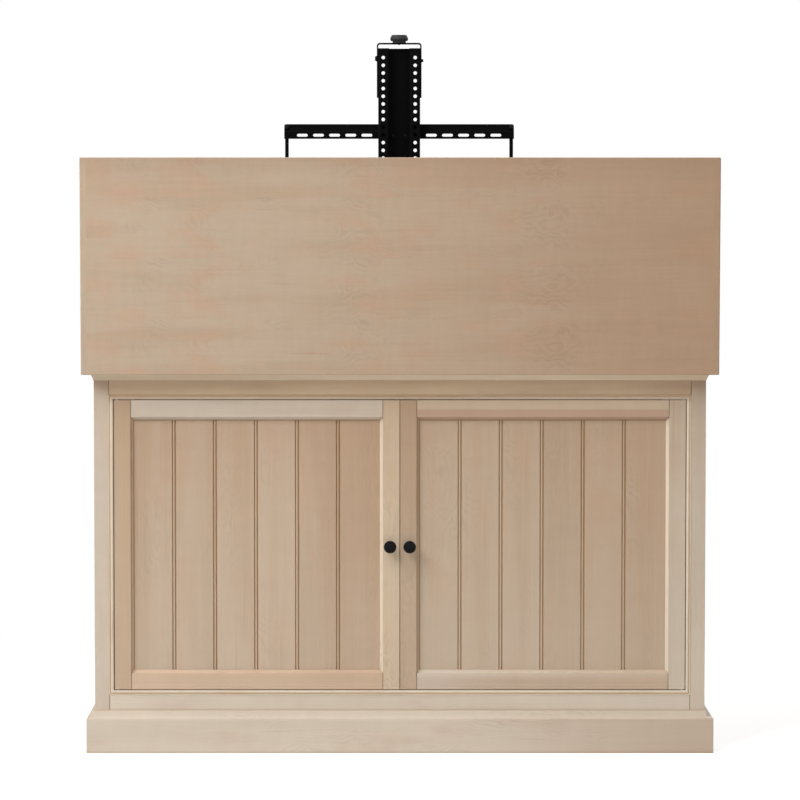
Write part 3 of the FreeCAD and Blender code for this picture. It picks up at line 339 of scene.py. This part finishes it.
# Brightness: spreads about 1, and changes where a layer is full
LOT_SPREAD = 0.07
FIBRE_SPREAD = 0.07
SPREADS = ((STREAKS, 0.1), (MOTTLING, 0.07), (GREYING, 0.08))
RING_DARKENS = 0.11
FLECK_DARKENS = 0.05
EDGE_LIGHTENS = 0.04

# Shares of a layer's own tone where the layer is full: dark runs, mineral streaks, painted shade in
# corners, dark joints, and painted shade at the foot of moulded edges
RUNS_SHARE = 0.55
MINERAL_SHARE = 0.35
PAINTED_SHADE_SHARE = 0.75
JOINT_SHARE = 0.7
QUIRK_SHADE_SHARE = 0.75

WOOD_ROUGHNESS = 0.5
FIBRE_ROUGHENS = 0.14
WOOD_SHINE = 0.3
RELIEF = 0.00025           # height of the surface's relief
FIBRE_RELIEF = 0.5         # shares of it
RING_RELIEF = 0.35
RELIEF_STRENGTH = 0.5

WOOD_EDGE_R = 0.0012       # eased edge
CREVICE = 0.012            # faces nearer than this get painted shade in each other's corners
PAINTED_SHADE_LIMITS = 0.25, 0.88     # openness at which a corner's painted shade is full, and that of plain wood
JOINT_W = 0.0018           # dark line where a rail meets its stiles
STICKING_W = 0.008         # moulded edge of a door's stile
HIGHLIGHT_W = 0.0016           # painted highlight at the inner side of such an edge
QUIRK_W = 0.0026           # painted shade at the foot of a moulded edge that faces away from the light


def laid_out(graph, grain, seed, short, boards, leaves):
    """The wood's coordinates, those in which its figure repeats, and its lot of 0 to 1."""
    if boards:
        (along, across, depth), board = board_grain(graph, *boards)
        lot = graph.random(graph.plus(graph.times(board, LOT_STEP), seed))
    else:
        along, across, depth = grain(graph) if callable(grain) else straight_grain(graph, grain)
        lot = graph.random(seed)
    shift = graph.times(lot, LOT_SHIFT)
    here = (graph.math("MULTIPLY_ADD", along, short, shift), across, depth)
    if not leaves:
        return here, here, lot
    along, across, depth = leaves(graph)
    return here, (graph.math("MULTIPLY_ADD", along, short, shift), across, depth), lot


def growth_rings(graph, curls, lot, rings_per_m):
    """Late wood, 0 to 1, bent into curls that show in places."""
    aside = graph.varied(curls[1], lot, HEART_ASIDE)
    under = graph.plus(curls[2], graph.plus(graph.times(lot, HEART_RANGE), HEART_DEPTH))
    squares = [graph.math("POWER", side, 2.0) for side in (aside, under)]
    radius = graph.math("SQRT", graph.plus(*squares))
    for scales, reach in RING_BENDS:
        radius = graph.math("MULTIPLY_ADD", graph.noise(curls, scales), reach, radius)
    phase = graph.math("FRACT", graph.times(radius, rings_per_m))
    late = graph.minus(graph.steps(phase, *RING_GROWS), graph.steps(phase, *RING_ENDS))
    return graph.times(late, graph.plus(RING_LEAST, graph.patches(curls, *CURLED)))


def wood_colour(graph, here, curls, light, dark, streaks, flush, drifts):
    """Light wood with darker runs, pink patches, slow drifts of tone and mineral streaks."""
    layer, limits = DARK_RUNS
    limits = [limit - lower * streaks for limit, lower in zip(limits, STREAKS_LOWER)]
    colour = graph.mix(graph.times(graph.patches(here, layer, limits), RUNS_SHARE), light, dark)
    colour = graph.mix(graph.times(graph.patches(curls, *BLUSH), flush), colour, PINK)
    for axis, start, end, tone, share in drifts:
        reached = graph.steps(graph.place()[axis], start, end)
        colour = graph.mix(graph.times(reached, share), colour, tone)
    return graph.mix(graph.times(graph.patches(curls, *MINERAL), MINERAL_SHARE), colour, RUST)


def wood_brightness(graph, here, lot, fibre, late, figure, edge):
    """About 1: fibres, streaks and mottling about it, rings and flecks below, edges above."""
    value = graph.varied(graph.varied(1.0, lot, LOT_SPREAD), fibre, FIBRE_SPREAD)
    for layer, spread in SPREADS:
        value = graph.varied(value, graph.noise(here, *layer), spread)
    flecks = graph.patches(here, *FLECKS)
    for layer, amount in ((late, RING_DARKENS * figure), (flecks, FLECK_DARKENS)):
        value = graph.minus(value, graph.times(layer, amount))
    return graph.raised(value, edge, EDGE_LIGHTENS)


def quirk_shade_mask(graph, axis, edge, inward):
    """Mask of painted shade: 1 in the foot of a moulded edge, 0 further into its member."""
    from_edge = graph.times(graph.minus(graph.place()[axis], edge), inward)
    return graph.minus(1.0, graph.steps(from_edge, QUIRK_W / 2, QUIRK_W))


def joint_line(graph, low, high):
    """1 at both ends of a rail, 0 between."""
    from_middle = graph.math("ABSOLUTE", graph.minus(graph.place()[X], (low.x + high.x) / 2))
    half = (high.x - low.x) / 2
    return graph.steps(from_middle, half - JOINT_W, half - JOINT_W / 2)


def maple(name, grain, light, dark, seed, figure=1.0, rings_per_m=420.0, short=1.0, streaks=0.5,
          flush=0.25, corner=SHADE, boards=None, leaves=None, drifts=(), ends=None, quirk=None):
    """Maple from light to dark. figure is the strength of its rings, short how much shorter its
    features are along the grain, streaks how much of the darker tone runs along the grain,
    flush the share of its pink patches and corner the tone of the painted shade where faces
    stand close. boards is the box of a solid whose boards have their own lots, leaves gives the
    coordinates in which the figure repeats, drifts the slow changes of tone (axis, start, end,
    tone, share), some of them painted light and shade, ends the box of a rail with joint lines,
    and quirk the axis, place and inward sense of a moulded edge that gets painted shade at its
    foot."""
    graph = Graph(name)
    here, curls, lot = laid_out(graph, grain, seed, short, boards, leaves)
    late = growth_rings(graph, curls, lot, rings_per_m)
    fibre = graph.noise(here, *FIBRE)
    normal, edge = graph.eased(WOOD_EDGE_R)
    colour = graph.shade(wood_colour(graph, here, curls, light, dark, streaks, flush, drifts),
                         wood_brightness(graph, here, lot, fibre, late, figure, edge))
    # Painted shade where faces stand close, in corners and gaps
    shadow = graph.minus(1.0, graph.steps(graph.crevice(CREVICE), *PAINTED_SHADE_LIMITS))
    colour = graph.mix(graph.times(shadow, PAINTED_SHADE_SHARE), colour, corner)
    if ends:
        colour = graph.mix(graph.times(joint_line(graph, *ends), JOINT_SHARE), colour, JOINT_AND_DEEP_SHADE)
    # Painted shade at the foot of a moulded edge that faces away from the light
    if quirk:
        colour = graph.mix(graph.times(quirk_shade_mask(graph, *quirk), QUIRK_SHADE_SHARE), colour, QUIRK_SHADE)
    height = graph.minus(graph.times(fibre, FIBRE_RELIEF), graph.times(late, RING_RELIEF))
    graph.bump(height, normal, RELIEF, RELIEF_STRENGTH)
    return graph.finish(Base_Color=colour, Specular_IOR_Level=WOOD_SHINE,
                        Roughness=graph.raised(WOOD_ROUGHNESS, fibre, FIBRE_ROUGHENS))


# ---------------------------------------------------------------- wood: slow changes of tone, painted light and shade
# Shares of the face frame's height between which upright pieces get painted shade under the lid and
# painted light near the floor
LID_SHADE = 0.543, 0.978
FLOOR_GLEAM = 0.652, 0.217
LID_SHADOW = 0.924, 0.978    # the darkest painted shade, close under the lid


def drift(node, axis, start, end, tone, share):
    """A slow change of tone; start and end are shares of the node's own box."""
    low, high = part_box(node)
    span = high[axis] - low[axis]
    return axis, low[axis] + start * span, low[axis] + end * span, tone, share


def painted_lid_shade_floor_light(above, below):
    """Drifts of an upright front piece: painted shade, browner under the lid, and painted light,
    paler near the floor.
    """
    return [drift("face_stile_left", Z, *LID_SHADE, BROWN, above),
            drift("face_stile_left", Z, *FLOOR_GLEAM, MILK, below)]


def painted_highlight(node, share):
    """Drift of a stile whose moulded edge, on its left, faces the light: a painted highlight."""
    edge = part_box(node)[0].x
    return [(X, edge + STICKING_W, edge + STICKING_W - HIGHLIGHT_W, HIGHLIGHT_CHALK, share)]


# ---------------------------------------------------------------- wood: the straight pieces
# Grain, light tone and dark tone; every piece is its own lot
STRAIGHT = {
    "face_stile_left": (Z, PALE, CREAM),
    "face_stile_right": (Z, linear(197, 182, 163), SAND),
    # The top rail's warm tan tones are partly its own tone and partly painted warm bounce light in
    # the shade under the lid
    "face_rail_top": (X, linear(209, 183, 151), TAN),
    "face_rail_bottom": (X, MILK, PALE),
    "plinth_back": (X, PALE, CREAM),
    "plinth_returns": (Y, PALE, CREAM),
    "side_panel_left": (Z, CREAM, TAN),
    "side_panel_right": (Z, CREAM, TAN),
    "back_stiles": (Z, PALE, CREAM),
    "back_rails": (X, PALE, TAN),
    "back_panel": (Z, TAN, BROWN),
    "bottom_panel": (X, CREAM, TAN),
    "floor_runner": (Y, CREAM, TAN),
    "top_stretcher": (X, CREAM, TAN),
    "centre_divider": (Z, CREAM, TAN),
    "shelf_left": (X, CREAM, TAN),
    "shelf_right": (X, CREAM, TAN),
    "door_left_hinge_stile": (Z, linear(194, 167, 139), CREAM),
    "door_left_meeting_stile": (Z, linear(202, 181, 154), CREAM),
    "door_left_rail_top": (X, PALE, CREAM),
    "door_left_rail_bottom": (X, linear(209, 182, 156), CREAM),
    "door_right_hinge_stile": (Z, linear(201, 186, 166), CREAM),
    "door_right_meeting_stile": (Z, CLAY, BROWN),
    "door_right_rail_top": (X, linear(198, 175, 149), TAN),
    "door_right_rail_bottom": (X, linear(204, 186, 165), CREAM),
}
# Painted shade under the lid and painted light near the floor, and a painted highlight on two
# stiles' moulded edges
PAINTED_LIGHT_AND_SHADE = {
    "face_stile_left": painted_lid_shade_floor_light(above=0.15, below=0.4),
    "face_stile_right": painted_lid_shade_floor_light(above=0.35, below=0.25),
    "door_left_hinge_stile": painted_lid_shade_floor_light(above=0.38, below=0.1),
    "door_left_meeting_stile": painted_lid_shade_floor_light(above=0.35, below=0.05) + painted_highlight("door_left_meeting_stile", 0.5),
    "door_right_meeting_stile": painted_lid_shade_floor_light(above=0.3, below=0.0),
    "door_right_hinge_stile": painted_lid_shade_floor_light(above=0.35, below=0.2) + painted_highlight("door_right_hinge_stile", 0.7),
}
# Axis, shares of the piece's box where it starts and ends, tone and share
DRIFTS = {
    # The back panel is darker on its inner face: painted shade inside the case
    "back_panel": [(Y, 0.89, 0.11, linear(128, 100, 74), 0.9)],
    # Browner close under the lid: painted shade
    "face_stile_left": [(Z, *LID_SHADOW, BROWN, 0.45)],
    "face_stile_right": [(Z, *LID_SHADOW, BROWN, 0.35)],
    "face_rail_top": [(X, 0.857, 1.014, BROWN, 0.33)],
    "face_rail_bottom": [(X, 0.157, 0.0, linear(226, 213, 195), 0.6)],
    "door_left_rail_bottom": [(X, 0.490, 0.984, BROWN, 0.17)],
    "door_right_rail_top": [(Z, 0.598, 0.496, linear(184, 152, 129), 0.9)],
    "door_right_rail_bottom": [(Z, 0.766, 0.426, linear(190, 165, 142), 0.8),
                               (X, 0.428, 0.016, linear(205, 194, 182), 0.35),
                               (X, 0.510, 0.955, TAN, 0.3)],
    "door_right_meeting_stile": [(Z, 0.670, 0.427, CREAM, 0.45)],
}
# Axis, place and inward sense of the moulded edges that face away from the light, which get painted
# shade at their foot
QUIRKS = {
    "door_left_rail_top": (Z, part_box("door_left_rail_top")[0].z, 1),
    "door_right_rail_top": (Z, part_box("door_right_rail_top")[0].z, 1),
    "door_left_hinge_stile": (X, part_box("door_left_hinge_stile")[1].x, -1),
    "door_right_meeting_stile": (X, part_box("door_right_meeting_stile")[1].x, -1),
}


def painted_shade_tone(node):
    """The tone of painted shade where faces stand close: warm beside the panels, dark under the
    lid.
    """
    if "stile" in node:
        return LIGHT_SHADE
    return JOINT_AND_DEEP_SHADE if node.endswith("rail_top") else SHADE


def straight_pieces():
    for number, (node, (grain, light, dark)) in enumerate(STRAIGHT.items()):
        drifts = PAINTED_LIGHT_AND_SHADE.get(node, []) + [drift(node, *own) for own in DRIFTS.get(node, ())]
        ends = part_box(node) if "_rail_" in node else None
        dress(maple("maple_" + node, grain, light, dark, seed=number + 1, drifts=drifts, ends=ends,
                    corner=painted_shade_tone(node), quirk=QUIRKS.get(node)), node)


# ---------------------------------------------------------------- wood: the other pieces
def plinth_front():
    node = "plinth_front"
    dress(maple("maple_plinth", X, MILK, PALE, seed=39,
                drifts=[drift(node, X, 0.5, 1.03, BROWN, 0.4),
                        drift(node, Z, 0.797, 0.837, MILK, 0.75)]), node)


def cove():
    node = "cove_moulding"
    # Its pale tones and the paler drift along it are painted light on the moulding under the lid
    dress(maple("maple_cove", ring_grain, linear(224, 205, 179), linear(212, 190, 163), seed=40,
                drifts=[drift(node, X, 0.103, 0.5, linear(246, 222, 192), 0.4),
                        drift(node, X, 0.732, 0.977, linear(224, 200, 168), 0.7)]), node)


def bead():
    node = "opening_bead"
    dress(maple("maple_bead", bead_grain, linear(222, 208, 186), PALE, seed=41, corner=LIGHT_SHADE,
                drifts=[drift(node, Z, 0.967, 0.992, TAN, 0.65)]), node)


def door_boards(side, seed, light, corner, own):
    node = "door_%s_panel_boards" % side
    dress(maple("maple_boards_" + side, Z, light, CLAY, seed, figure=0.5, streaks=0.7, flush=0.45,
                corner=corner, boards=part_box(node),
                drifts=[drift(node, *own)] + painted_lid_shade_floor_light(above=0.4, below=0.17)), node)


def lid():
    node = "lid_panel"
    dress(maple("maple_lid", long_grain, SAND, CLAY, seed=60, figure=0.95, rings_per_m=330.0,
                short=2.0, flush=0.6, leaves=leaf_grain,
                drifts=[drift(node, X, 0.106, 1.123, BROWN, 0.75),
                        drift(node, Z, 0.861, 1.035, linear(150, 116, 86), 0.3)]), node)


def wood():
    straight_pieces()
    plinth_front()
    cove()
    bead()
    # The second tone of each door's boards is that of painted shade in their seams and corners
    door_boards("left", 50, linear(194, 172, 149), linear(172, 131, 66),
                (X, 0.572, 0.902, linear(182, 150, 121), 0.5))
    door_boards("right", 51, SAND, linear(180, 142, 80), (X, 0.428, 0.955, BROWN, 0.35))
    lid()


# ---------------------------------------------------------------- metal, plastic, rubber
# Noise scales per metre
COAT_HAZE = 14.0
COAT_SCUFFS = 90.0
BRUSH_LONG = 25.0          # along the brushing
BRUSH_FINE = 1500.0        # across it
STEEL_STAINS = 35.0
MOULDED_HAZE = 22.0

# Eased edges, and heights of the surfaces' relief
COAT_EDGE_R = 0.0005
STEEL_EDGE_R = 0.0003
MOULDED_EDGE_R = 0.0004
COAT_RELIEF = 0.00012
BRUSH_RELIEF = 0.00005

SCUFF_LIMITS = 0.35, 0.7   # values of the scuffs' noise at which one begins and is full
COAT_RUBBED = linear(58, 58, 60)
STEEL_RUBBED = linear(214, 214, 212)
STEEL_RUB_SHARE = 0.4
MOULDED_EDGE_LIGHTENS = 0.35


def even(scale):
    """A noise's scales, the same on each axis."""
    return scale, scale, scale


def coated_steel(name, colour, roughness, grain=700.0, wear=0.6, shine=0.3):
    """Powder coat: fine orange peel, rubbed a little paler on its edges."""
    graph = Graph(name)
    here = graph.place()
    peel = graph.noise(here, even(grain))
    haze = graph.noise(here, even(COAT_HAZE), detail=3.0)
    normal, edge = graph.eased(COAT_EDGE_R)
    scuff = graph.times(edge, graph.patches(here, [even(COAT_SCUFFS)], SCUFF_LIMITS))
    tone = graph.mix(graph.times(scuff, wear), colour, COAT_RUBBED)
    tone = graph.shade(tone, graph.raised(0.85, haze, 0.3))
    graph.bump(peel, normal, COAT_RELIEF, strength=0.35)
    return graph.finish(Base_Color=tone, Roughness=graph.raised(roughness - 0.06, haze, 0.12),
                        Specular_IOR_Level=shine)


def brushed_steel(name, colour, along, roughness=0.34):
    """Bare steel with a fine brushing along one axis."""
    graph = Graph(name)
    here = graph.place()
    scales = [BRUSH_LONG if axis == along else BRUSH_FINE for axis in (X, Y, Z)]
    brush = graph.noise(here, scales, detail=3.0, roughness=0.7)
    stain = graph.noise(here, even(STEEL_STAINS), detail=3.0)
    normal, edge = graph.eased(STEEL_EDGE_R)
    tone = graph.shade(colour, graph.raised(0.8, stain, 0.3))
    tone = graph.mix(graph.times(edge, STEEL_RUB_SHARE), tone, STEEL_RUBBED)
    graph.bump(brush, normal, BRUSH_RELIEF, strength=0.4)
    return graph.finish(Base_Color=tone, Roughness=graph.raised(roughness - 0.1, brush, 0.25),
                        Metallic=1.0)


def moulded(name, colour, roughness, grain=1400.0, relief=0.0001):
    """Moulded plastic or rubber with a fine surface."""
    graph = Graph(name)
    here = graph.place()
    texture = graph.noise(here, even(grain), detail=1.0)
    haze = graph.noise(here, even(MOULDED_HAZE), detail=3.0)
    normal, edge = graph.eased(MOULDED_EDGE_R)
    tone = graph.shade(colour, graph.raised(0.88, haze, 0.24))
    tone = graph.shade(tone, graph.raised(1.0, edge, MOULDED_EDGE_LIGHTENS))
    graph.bump(texture, normal, relief, strength=0.4)
    return graph.finish(Base_Color=tone, Roughness=graph.raised(roughness - 0.05, haze, 0.1))


def lift():
    black = coated_steel("black_powder_coat", linear(6, 6, 7), roughness=0.5, wear=0.15, shine=0.04)
    dress(black, "lift_foot", "lift_base_column", "lift_middle_stage", "lift_carriage",
          "tv_rail_upper", "tv_rail_lower", "tv_end_bars", "lid_pusher_strap")
    dress(coated_steel("blackened_bolts", linear(20, 20, 22), roughness=0.3, grain=300.0, wear=0.5,
                       shine=0.1), "lift_bolts")
    dress(brushed_steel("rod_steel", linear(208, 208, 210), along=Z, roughness=0.18), "drive_rod")
    dress(moulded("nylon", linear(224, 222, 212), roughness=0.5),
          "lift_base_glides", "lift_carriage_glides")


def fittings():
    knobs = coated_steel("knob_black", linear(12, 12, 13), roughness=0.3, grain=420.0, wear=0.5,
                         shine=0.12)
    for side in ("left", "right"):
        dress(knobs, "door_%s_knob" % side)
        dress(brushed_steel("leaf_steel_" + side, linear(176, 174, 168), along=X),
              "door_%s_hinge_leaves" % side)
        dress(brushed_steel("strike_steel_" + side, linear(178, 178, 176), along=Z),
              "door_%s_strike_plate" % side)
    dress(brushed_steel("hinge_steel", linear(182, 180, 174), along=X),
          "lid_hinge_case_leaf", "lid_hinge_lid_leaf", "lid_hinge_pin", "door_hinge_frame_leaves")
    dress(brushed_steel("pin_steel", linear(186, 184, 178), along=X, roughness=0.28), "shelf_pins")


def plastic_and_rubber():
    dress(moulded("black_plastic", linear(38, 38, 40), roughness=0.55),
          "drive_housing", "control_box", "cable_grommet", "door_catches")
    dress(moulded("rubber", linear(22, 22, 24), roughness=0.7, grain=900.0, relief=0.0002),
          "lid_bumper", "lid_rest_pads")


# ---------------------------------------------------------------- stage
FLOOR_R = 6.0
FLOOR_SIDES = 96
FLOOR_TONE = 0.86
FLOOR_GLOW = 0.6           # lifts the lit floor to white beside the object's shadow
FADE_START = 1.1           # from the cabinet's middle: the floor fades to plain white
FADE_END = 2.4
PURE_WHITE = (1, 1, 1, 1)
WHITE = 1.0                # strength at which it is seen as white
SKY_LIGHT = 0.22           # strength of the world's light on the object

# Lamps: place, what they point at, side and power in watts
LAMPS = {
    "key": ((-3.4, -3.5, 5.4), (0, 0, 0.8), 4.5, 440),
    "fill": ((3.0, -5.0, 1.6), (0, 0, 0.8), 3.0, 25),
    "back": ((1.5, 4.5, 4.0), (0, 0, 0.9), 3.0, 110),
}


def floor_surface():
    """Pale, with the shadow near the object, and fading to plain white around it."""
    material = bpy.data.materials.new("floor")
    tree = Tree(material)
    pale = tree.output("ShaderNodeBsdfDiffuse", (FLOOR_TONE, FLOOR_TONE, FLOOR_TONE, 1))
    lit = tree.output("ShaderNodeAddShader", pale,
                      tree.output("ShaderNodeEmission", PURE_WHITE, FLOOR_GLOW))
    plain = tree.output("ShaderNodeEmission", PURE_WHITE, WHITE)
    place = tree.node("ShaderNodeTexCoord").outputs["Object"]
    distance = tree.node("ShaderNodeVectorMath", place, operation="LENGTH").outputs["Value"]
    fade = tree.steps(distance, FADE_START, FADE_END)
    seen = tree.output("ShaderNodeMixShader", fade, lit, plain)
    camera_ray = tree.node("ShaderNodeLightPath").outputs["Is Camera Ray"]
    tree.node("ShaderNodeOutputMaterial",
              tree.output("ShaderNodeMixShader", camera_ray, pale, seen))
    return material


def floor():
    mesh = bpy.data.meshes.new("floor")
    shape = bmesh.new()
    bmesh.ops.create_circle(shape, cap_ends=True, segments=FLOOR_SIDES, radius=FLOOR_R)
    shape.to_mesh(mesh)
    shape.free()
    ground = bpy.data.objects.new("floor", mesh)
    bpy.context.scene.collection.objects.link(ground)
    mesh.materials.append(floor_surface())


def world():
    """White where it is seen or mirrored, and a soft even light otherwise."""
    sky = bpy.data.worlds.new("world")
    bpy.context.scene.world = sky
    tree = Tree(sky)
    ray = tree.node("ShaderNodeLightPath").outputs
    seen = tree.math("MAXIMUM", ray["Is Camera Ray"], ray["Is Glossy Ray"])
    seen = tree.math("MAXIMUM", seen, ray["Is Transmission Ray"])
    strength = tree.raised(SKY_LIGHT, seen, WHITE - SKY_LIGHT)
    tree.node("ShaderNodeOutputWorld", tree.output("ShaderNodeBackground", PURE_WHITE, strength))


def lights():
    for name, (place, aim, side, power) in LAMPS.items():
        data = bpy.data.lights.new(name, "AREA")
        data.shape = "SQUARE"
        data.size = side
        data.energy = power
        light = bpy.data.objects.new(name, data)
        light.location = place
        light.rotation_euler = (Vector(aim) - Vector(place)).to_track_quat("-Z", "Y").to_euler()
        bpy.context.scene.collection.objects.link(light)


bpy.context.scene.view_settings.view_transform = "Standard"
camera()
world()
lights()
floor()
wood()
lift()
fittings()
plastic_and_rubber()
